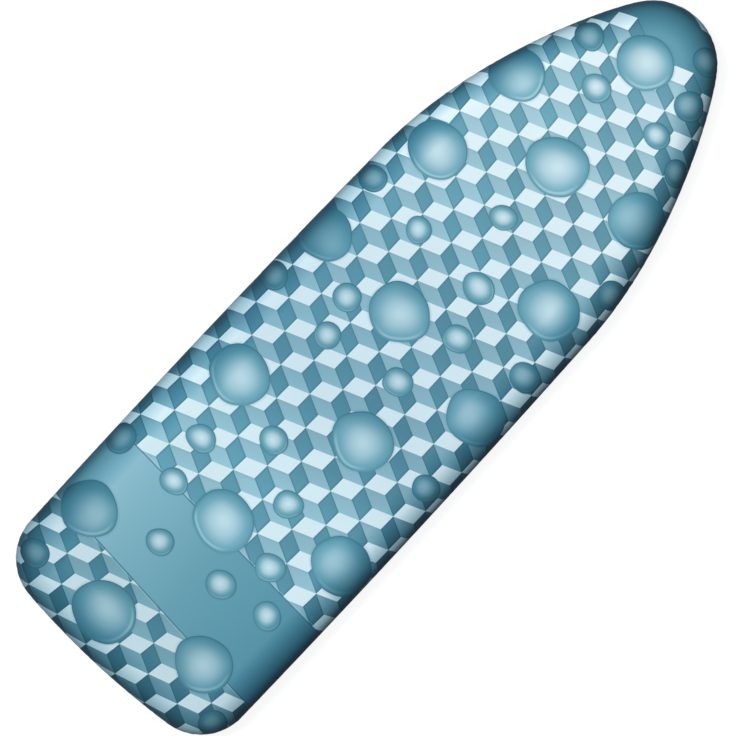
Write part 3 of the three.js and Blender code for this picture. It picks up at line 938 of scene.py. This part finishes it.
def make_cloth():
    """The printed cloth, its flat cut and the line of its hem's seam."""
    at, normal, gather = whole_outline(FINE)
    along, total = running_length(at, closed=True)
    gather = softened(gather, 14)
    # The painted edge shade is narrower on the taper's left side and wider at the left corner.
    on_taper = np.interp(at[:, 0], TAPER_SHADE_ALONG, (0, 1, 1, 0)) * (at[:, 1] > 0)
    edge_shade_pace = 1 + TAPER_SHADE_PACE * on_taper
    edge_shade_pace -= CORNER_SHADE_PACE * np.clip(normal @ CORNER_SHADE_SIDE, 0, 1) ** 4
    profile = cloth_profile()
    lengths, _ = running_length(profile)
    wave = 0.65 * folds(along, total, GATHER_WAVE)
    wave += 0.35 * folds(along, total, SLOW_GATHER_WAVE)
    wave = np.tanh(1.3 * gather * wave)

    # The gathers stand out along the profile: not at all on top, and most at the hem's inner edge.
    start = lengths[ROLL_STEPS - 1] * GATHER_START
    rises = GATHER_RISE * np.clip((lengths - start) / (lengths[-1] - start), 0, 1) ** GATHER_POWER
    rings, flats, rims = [], [], []
    for (inset, height), away, length, rise in zip(profile, outward_normals(profile), lengths, rises):
        lift = rise * wave
        rings.append(ring_at(at, normal, inset + lift * away[0], height + lift * away[1]))
        flats.append(at - (ROLL_WIDTH - length) * normal)
        rims.append(inset * edge_shade_pace)
    points, faces = shell(rings, TOP_COLUMNS)
    top = points[len(rings) * len(at) :]
    steps = ((top[:, None, :2] - at) ** 2).sum(2)
    depth = np.sqrt(steps.min(1))
    x, y = top[:, 0], top[:, 1]
    dip = DIP_DEPTH * (np.sin(x * 31 + 1.3) * np.sin(y * 37 + 0.4) - 1)
    dip += FINE_DIP_DEPTH * np.sin(x * 83 + y * 41)
    top[:, 2] += dip * np.clip((depth - ROLL_WIDTH) / DIP_FADE, 0, 1)
    flat = np.vstack([*flats, top[:, :2]])
    cloth = new_object("cover_cloth", points, faces)
    write_uv(cloth, flat)
    # The rim attribute holds how far in from the edge each point lies, paced for the painted edge shade.
    write_attribute(cloth, "rim", np.concatenate([*rims, depth * edge_shade_pace[steps.argmin(1)]]))

    bubbles = draw_bubbles()
    middles = np.array([flat[list(f)].mean(0) for f in faces])
    gaps = np.linalg.norm(middles[:, None] - bubbles[:, :2], axis=2) - bubbles[:, 2]
    nearest = bubbles[gaps.argmin(1)]
    write_attribute(cloth, "bubble", nearest[:, :3], "FACE")
    write_attribute(cloth, "bubble_turn", nearest[:, 3], "FACE")
    solid = cloth.modifiers.new("thickness", "SOLIDIFY")
    solid.thickness = CLOTH_THICKNESS
    solid.offset = -1
    finish_piece(cloth, printed_cotton(), "top_cover")
    return cloth, flats[-1], rings[-3]


def under_cloth(depth, floor_height):
    """The roll's profile at a depth under the cloth's face, cut off at a height."""
    roll = superellipse_roll(16)
    outward = outward_normals(roll)
    outward[0] = (0, 1)
    inner = roll - depth * outward
    is_above = inner[:, 1] > floor_height + 0.0004
    above = inner[is_above]
    last, below = above[-1], inner[~is_above][0]
    share = (last[1] - floor_height) / (last[1] - below[1])
    edge_x = (last + share * (below - last))[0]
    return np.vstack([above, [edge_x, floor_height + FOAM_SOFT_EDGE], [edge_x + EDGE_STEP, floor_height]])


def closed_pad(name, profile, wobble=0.0):
    """A closed flat body inside the outline, whose edge follows a profile."""
    at, normal, _ = whole_outline(MEDIUM)
    edge_noise = wobble * folds(*running_length(at, closed=True), LAYER_WAVE)
    rings = [ring_at(at, normal, inset + edge_noise, height) for inset, height in profile]
    return new_object(name, *shell(rings, LAYER_COLUMNS, closed=True))


def flat_size(cut):
    """The width and length of a flat cut."""
    length, width = cut.max(0) - cut.min(0)
    return float(width), float(length)


def cut_area(cut):
    ahead = np.roll(cut, -1, axis=0)
    return abs(float((cut[:, 0] * ahead[:, 1] - cut[:, 1] * ahead[:, 0]).sum())) / 2


def make_padding():
    profile = under_cloth(CLOTH_THICKNESS + LAYER_GAP, FOAM_UNDERSIDE)
    foam = closed_pad("foam_layer", profile)
    finish_piece(foam, foam_material(), "foam_pad")

    edge = profile[-1][0] + EDGE_STEP
    bottom, top, soft = FELT_UNDERSIDE, FELT_UNDERSIDE + FELT_THICKNESS, FELT_SOFT_EDGE
    felt_profile = [(edge + soft, top), (edge, top - soft), (edge, bottom + soft), (edge + soft, bottom)]
    felt = closed_pad("felt_layer", felt_profile, FELT_WOBBLE)
    finish_piece(felt, felt_material(), "felt_underlay")
    at, normal, _ = whole_outline(MEDIUM)
    felt_cut = at - edge * normal
    flat_size(felt_cut)
    cut_area(felt_cut)


def make_casing():
    """The gathered tape tube along the hem's inner edge, open at the middle of the heel."""
    stop_angle = math.asin(CASING_MOUTH / 2 / (HEEL_CROWN_RADIUS - CASING_INSET))
    at, normal, gather = open_outline(FOLDED, stop_angle)
    middle = at - CASING_INSET * normal
    along, total = running_length(middle)
    count = len(at)
    ruck = folds(along, total, RUCK_WAVE, 9)[:, None]
    swell = folds(along, total, SWELL_WAVE)[:, None]
    slant = folds(along, total, SLANT_WAVE)
    slant = slant[(np.arange(count)[:, None] + 3 * np.arange(TUBE_SIDES)) % count]
    ease = 0.55 + 0.45 * gather[:, None]
    half_width = CASING_WIDTH / 2 - CASING_EASE + SWELL_RISE * np.tanh(swell + 0.6 * ruck) * ease
    half_height = CASING_HEIGHT / 2 - CASING_DROP + RUCK_RISE * np.tanh(ruck) * ease
    fold = SLANT_RISE * ease * np.tanh(slant + ruck)
    angles = 2 * math.pi * (np.arange(TUBE_SIDES) + 0.5) / TUBE_SIDES
    cos, sin = np.cos(angles), np.sin(angles)
    across = half_width * np.sign(cos) * np.abs(cos) ** CASING_SQUARENESS + fold * cos
    up = half_height * np.sign(sin) * np.abs(sin) ** CASING_SQUARENESS + fold * sin
    outside = rings_beside(middle, normal, across, np.clip(up, -CASING_HEIGHT / 2, CASING_HEIGHT / 2))
    bore = np.full((count, 1), BORE_RADIUS)
    inside = rings_beside(middle, normal, bore * cos, bore * sin)
    tube = loft("hem_tube", np.concatenate([outside, inside[::-1]]), closed=True)
    around = np.tile(np.arange(TUBE_SIDES) / TUBE_SIDES, 2 * count) * TUBE_GIRTH
    write_uv(tube, np.column_stack([around, np.repeat(np.concatenate([along, along[::-1]]), TUBE_SIDES)]))
    finish_piece(tube, tape_material(), "hem_casing")


def cord_path():
    """The cord's middle line from one end in the moulded end, round the hem and back."""
    bend_y = CORD_PITCH / 2 + CORD_BEND_RADIUS
    at, normal, _ = open_outline(MEDIUM, math.asin(bend_y / (HEEL_CROWN_RADIUS - CASING_INSET)))
    angles = np.linspace(0, math.pi / 2, 26)[1:]
    bend_x = HEEL_X + CASING_INSET + CORD_BEND_RADIUS * (1 - np.cos(angles))
    bend = np.column_stack([bend_x, bend_y - CORD_BEND_RADIUS * np.sin(angles)])
    run_x = np.arange(bend_x[-1] + CORD_STEP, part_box("cord_end")[1][0] - CORD_END_DEPTH, CORD_STEP)
    run = np.column_stack([run_x, np.full(len(run_x), CORD_PITCH / 2)])
    tail = np.vstack([bend, run])
    return np.vstack([(tail * FLIP)[::-1], at - CASING_INSET * normal, tail])


def make_drawcord():
    path = cord_path()
    ahead = unit_rows(np.gradient(path, axis=0))
    side = np.column_stack([-ahead[:, 1], ahead[:, 0]])
    along, _ = running_length(path)
    turns = np.arange(TUBE_SIDES) / TUBE_SIDES
    angles = 2 * math.pi * turns
    forward = BRAID_STRANDS * 2 * math.pi * along[:, None] / BRAID_PITCH
    around = BRAID_STRANDS * angles
    braid = np.maximum(np.cos(around + forward), np.cos(around - forward))
    far = CORD_DIAMETER / 2 - BRAID_RISE + BRAID_RISE * braid
    cord = loft("hem_cord", rings_beside(path, side, far * np.cos(angles), far * np.sin(angles)))
    write_uv(cord, np.column_stack([np.tile(turns, len(path)), np.repeat(along, TUBE_SIDES)]))
    finish_piece(cord, cord_material(), "drawcord")


def make_strap(place, is_hook):
    """One strap half. The hook half is sewn to the hem's left side, and the loop half to its right side."""
    kind = "hook" if is_hook else "loop"
    node = f"{place}_strap_{kind}_half"
    low, high, middle = box_of(node)
    toward, root_y = (1, high[1]) if is_hook else (-1, low[1])
    width, reach, thickness = high - low

    # The root end is tucked into the casing's wall.
    places = root_y - toward * np.append(np.arange(-STRAP_TUCK, reach, STRAP_PICK), reach)
    across = np.linspace(-1, 1, STRAP_RIBS * 4 + 1)
    half = thickness / 2 - STRAP_SKIN
    rib = RIB_RISE * np.cos((across + 1) * math.pi * STRAP_RIBS)
    upper = (half + rib) * np.sqrt(np.clip(1 - np.abs(across) ** 14, 0, 1))
    across = across * width / 2
    section_x = np.concatenate([across, across[-2:0:-1]])
    section_z = np.concatenate([upper, -upper[-2:0:-1]])
    rings = []
    for i, y in enumerate(places):
        squeeze, narrow = SEALED_ENDS.get(i, SEALED_ENDS.get(i - len(places), (1, 1)))
        thick = squeeze * (1 + PICK_RISE * (1 if i % 2 else -1) / half)
        ring_x, ring_y = middle[0] + narrow * section_x, np.full(len(section_x), y)
        rings.append(np.column_stack([ring_x, ring_y, middle[2] + thick * section_z]))
    strap = loft(f"{place}_{kind}_strap", rings)
    write_uv(strap, np.concatenate(rings)[:, :2] - (middle[0], 0))
    body = place + "_strap" if is_hook else "root"
    finish_piece(strap, strap_material(), node, body, bends=is_hook)


def stitch_rows(name, runs):
    """Thread stitches along runs of points, each given with the direction that its cloth faces."""
    points, faces = [], []
    for line, face in runs:
        line, up = np.asarray(line, float), np.array(face, float)
        reach, total = running_length(line)

        def spot(at):
            return np.array([np.interp(at, reach, line[:, c]) for c in range(3)])

        start = STITCH_GAP / 2
        while start + STITCH_LENGTH < total:
            first, last = spot(start), spot(start + STITCH_LENGTH)
            across = np.cross(last - first, up)
            across /= np.linalg.norm(across)
            faces += skin(len(STITCH_RINGS), STITCH_SIDES, len(points))
            for share, thick, rise in STITCH_RINGS:
                middle = first + share * (last - first) + up * STITCH_RADIUS * rise
                for angle in 2 * math.pi * np.arange(STITCH_SIDES) / STITCH_SIDES:
                    out = across * math.cos(angle) + up * math.sin(angle) * STITCH_FLATNESS
                    points.append(middle + out * STITCH_RADIUS * thick)
            start += STITCH_LENGTH + STITCH_GAP
    return new_object(name, points, faces)


def root_rows(node, toward):
    low, high, _ = box_of(node)
    root_y = high[1] if toward > 0 else low[1]
    left, right = low[0] + ROOT_INSET, high[0] - ROOT_INSET
    rows = [root_y - toward * away for away in ROOT_ROWS]
    return [([(left, y, low[2]), (right, y, low[2])], DOWN) for y in rows]


def make_stitches(place):
    """The thread of one strap: a box through each pad and its strap half, and two rows at each root."""
    body = place + "_strap"
    half_low, _, middle = box_of(body + "_hook_half")
    pad_low, pad_high, _ = box_of(body + "_hook_pad")
    half_width = (pad_high[0] - pad_low[0]) / 2 - STITCH_INSET
    left_x, right_x = middle[0] - half_width, middle[0] + half_width
    rear_y, front_y = pad_low[1] + STITCH_INSET, pad_high[1] - STITCH_INSET

    def box(z, face):
        corners = [(left_x, rear_y, z), (right_x, rear_y, z), (right_x, front_y, z), (left_x, front_y, z)]
        return [(side, face) for side in zip(corners, corners[1:] + corners[:1])]

    swinging = box(half_low[2], DOWN) + box(pad_high[2] - PAD_FACE, UP)
    loop_top, loop_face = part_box(body + "_loop_half")[1][2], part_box(body + "_loop_pad")[0][2] + PAD_FACE
    fixed = box(loop_top, UP) + box(loop_face, DOWN) + root_rows(body + "_loop_half", -1)
    root = root_rows(body + "_hook_half", 1)
    for name, runs, rides, bends in (
        ("_pad_thread", swinging, body, False),
        ("_loop_thread", fixed, "root", False),
        ("_root_thread", root, body, True),
    ):
        finish_piece(stitch_rows(place + name, runs), thread_material(), body=rides, bends=bends)


def hook_sheet(width, length, back, face):
    """A moulded sheet with rows of small bent hooks, about the middle of its pad."""
    corners = []
    for x, y, start in ((1, 1, 0), (-1, 1, 90), (-1, -1, 180), (1, -1, 270)):
        centre = (x * (width / 2 - PAD_CORNER), y * (length / 2 - PAD_CORNER))
        corners.append(arc(centre, PAD_CORNER, math.radians(start), math.radians(start + 105), 7)[0])
    outline = np.concatenate(corners)
    points = []
    heights = (back, back + PAD_BEVEL, face - PAD_BEVEL, face)
    for inset, z in zip((PAD_SOFT_EDGE, 0.0, 0.0, PAD_SOFT_EDGE), heights):
        points += [(x, y, z) for x, y in outline * (1 - inset / (width / 2))]
    faces = skin(len(heights), len(outline))
    tall = PAD_FACE - HOOK_SPARE

    def spaced(size, inside):
        return np.arange(-size / 2 + inside[0], size / 2 - inside[1], HOOK_PITCH)

    for row, y in enumerate(spaced(length, HOOK_ROWS_INSIDE)):
        lean = HOOK_LEAN if row % 2 else -HOOK_LEAN
        for x in spaced(width, HOOK_COLUMNS_INSIDE):
            faces += skin(len(HOOK_RINGS), 4, len(points))
            for share, size, shift in HOOK_RINGS:
                for a, b in ((-1, -1), (1, -1), (1, 1), (-1, 1)):
                    at_x, at_y = x + a * size * HOOK_FLATNESS, y + b * size + lean * shift
                    points.append((at_x, at_y, face + tall * share))
    return np.array(points), faces


def loop_sheet(width, length, back, face):
    """A backing under a brushed pile of fine loops, about the middle of its pad. The pile points down."""
    i, j = np.meshgrid(np.arange(LOOPS_ACROSS + 1), np.arange(LOOPS_ALONG + 1))
    rim = np.minimum(np.minimum(i, LOOPS_ACROSS - i), np.minimum(j, LOOPS_ALONG - j))
    pile = -PAD_BEVEL * (2.0 - rim)
    pile[rim > 1] = LOOP_HEIGHT * wave_rng.uniform(size=(rim > 1).sum())
    x, y = (i / LOOPS_ACROSS - 0.5) * width, (j / LOOPS_ALONG - 0.5) * length
    front = np.column_stack([x.ravel(), y.ravel(), (face - pile).ravel()])
    behind = np.column_stack([front[:, :2], np.full(len(front), back)])
    total = len(front)
    numbers = np.arange(total).reshape(i.shape)
    quads = [numbers[:-1, :-1], numbers[1:, :-1], numbers[1:, 1:], numbers[:-1, 1:]]
    faces = []
    for a, b, c, d in zip(*(corner.ravel() for corner in quads)):
        faces += [(a, b, c, d), (total + a, total + d, total + c, total + b)]
    border = [*numbers[0, :-1], *numbers[:-1, -1], *numbers[-1, :0:-1], *numbers[:0:-1, 0]]
    faces += [(a, b, total + b, total + a) for a, b in zip(border, border[1:] + border[:1])]
    return np.vstack([front, behind]), faces


def make_pad(place, is_hook):
    """A hook or loop pad: its backing lies on its strap, and its hooks or loops face the other pad."""
    kind = "hook" if is_hook else "loop"
    node = f"{place}_strap_{kind}_pad"
    low, high, middle = box_of(node)
    width, length, _ = high - low - PAD_TRIM
    if is_hook:
        points, faces = hook_sheet(width, length, low[2] - LAYER_GAP, high[2] - PAD_FACE)
        material = pad_material("moulded_hooks", 0.5, 350.0, 0.3)
    else:
        points, faces = loop_sheet(width, length, high[2] + LAYER_GAP, low[2] + PAD_FACE)
        material = pad_material("brushed_loops", 0.95, 1400.0, 0.8)
    points[:, :2] += middle[:2]
    pad = new_object(f"{place}_{kind}s", points, faces, smooth=not is_hook)
    finish_piece(pad, material, node, place + "_strap" if is_hook else "root")


def make_spring():
    """The coil behind the lock's button, whose end turns lie flat."""
    low, high, middle = box_of("cord_lock_spring")
    turns = np.linspace(0, SPRING_TURNS, SPRING_TURNS * SPRING_STEPS + 1)
    # The first and the last turn rise by one wire each, and those between them share the rest.
    free = high[1] - low[1] - 3 * SPRING_WIRE
    rise = (0, SPRING_WIRE, SPRING_WIRE + free, 2 * SPRING_WIRE + free)
    climb = np.interp(turns, (0, 1, SPRING_TURNS - 1, SPRING_TURNS), rise)
    angles = 2 * math.pi * turns
    out = np.column_stack([np.cos(angles), np.zeros(len(turns)), np.sin(angles)])
    path = middle + (high[0] - low[0] - SPRING_WIRE) / 2 * out
    path[:, 1] = low[1] + SPRING_WIRE / 2 + climb
    side = np.cross(unit_rows(np.gradient(path, axis=0)), out)
    around = 2 * math.pi * np.arange(SPRING_SIDES)[:, None] / SPRING_SIDES
    wire = np.cos(around) * out[:, None] + np.sin(around) * side[:, None]
    spring = loft("lock_spring", path[:, None] + SPRING_WIRE / 2 * wire)
    finish_piece(spring, steel_material(), "cord_lock_spring", "cord_lock")
    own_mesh(spring)


def dress_node(node, material):
    """A CAD node keeps its shape and gets a better material and softer edges."""
    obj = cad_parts[node]
    obj.data.materials.clear()
    obj.data.materials.append(material)
    edge = obj.modifiers.new("soft edges", "BEVEL")
    edge.width = SOFT_EDGE
    edge.segments = 3
    edge.limit_method = "ANGLE"
    edge.angle_limit = math.radians(40)


def make_stage():
    bpy.ops.mesh.primitive_plane_add(size=60)
    floor = bpy.context.active_object
    floor.name = "floor"
    s = Shader("floor_paper", 1.0, 0.0)
    seen = s.seen()
    s.set("Base Color", s.mix(seen, "#6d767a", "#6d7274"))
    s.set("Emission Color", "#ffffff")
    s.set("Emission Strength", seen * 0.9)
    floor.data.materials.append(s.material)


def make_camera():
    data = bpy.data.cameras.new("camera")
    camera = add_object("camera", data)
    data.sensor_width = SENSOR_WIDTH
    data.lens = LENS
    data.clip_end = 100
    away = PHOTO_PIXEL * PHOTO_SIZE * LENS / SENSOR_WIDTH
    camera.location = Vector(VIEW_CENTRE) + Vector((0, 0, away))
    camera.rotation_euler = (0, 0, VIEW_TURN)
    bpy.context.scene.camera = camera


def add_light(name, kind, energy, location, target, **settings):
    data = bpy.data.lights.new(name, kind)
    data.energy = energy
    for key, value in settings.items():
        setattr(data, key, value)
    light = add_object(name, data)
    light.location = location
    light.rotation_euler = (Vector(target) - Vector(location)).to_track_quat("-Z", "Y").to_euler()


def make_light():
    """A sky that is brightest above the left side, a sun from there, and a soft lamp beside the taper."""
    scene = bpy.context.scene
    scene.view_settings.view_transform = "Standard"
    scene.world = bpy.data.worlds.new("world")
    scene.world.use_nodes = True
    nodes = Nodes(scene.world.node_tree)
    toward = nodes.term("TexCoord", output="Generated").dot(Vector(SKY_SIDE).normalized())
    sky = nodes.term("MapRange", toward, -0.2, 1.0, *SKY_STRENGTH)
    background = nodes.tree.nodes["Background"]
    nodes.feed(background.inputs["Color"], "#ffffff")
    nodes.feed(background.inputs["Strength"], nodes.mix(nodes.seen(), sky, 1.0, kind="FLOAT"))
    key_from = Vector(SUN_SIDE) * math.sin(SUN_TILT) + Vector((0, 0, math.cos(SUN_TILT)))
    add_light("key", "SUN", SUN_ENERGY, key_from, (0, 0, 0), angle=SUN_SPREAD)
    add_light("nose_fill", "AREA", LAMP_ENERGY, LAMP_PLACE, LAMP_TARGET, shape="DISK", size=LAMP_SIZE)


make_camera()
make_light()
make_stage()
cloth, cut, seam = make_cloth()
make_padding()
hem_thread = stitch_rows("hem_thread", [(np.vstack([seam, seam[:1]]), DOWN)])
finish_piece(hem_thread, thread_material())
flat_size(cut)
cut_area(cut)
make_casing()
make_drawcord()
for place in ("rear", "middle", "front"):
    make_strap(place, True)
    make_strap(place, False)
    make_pad(place, True)
    make_pad(place, False)
    make_stitches(place)
for node in ("cord_lock_body", "cord_lock_button", "cord_end"):
    dress_node(node, plastic_material())
make_spring()
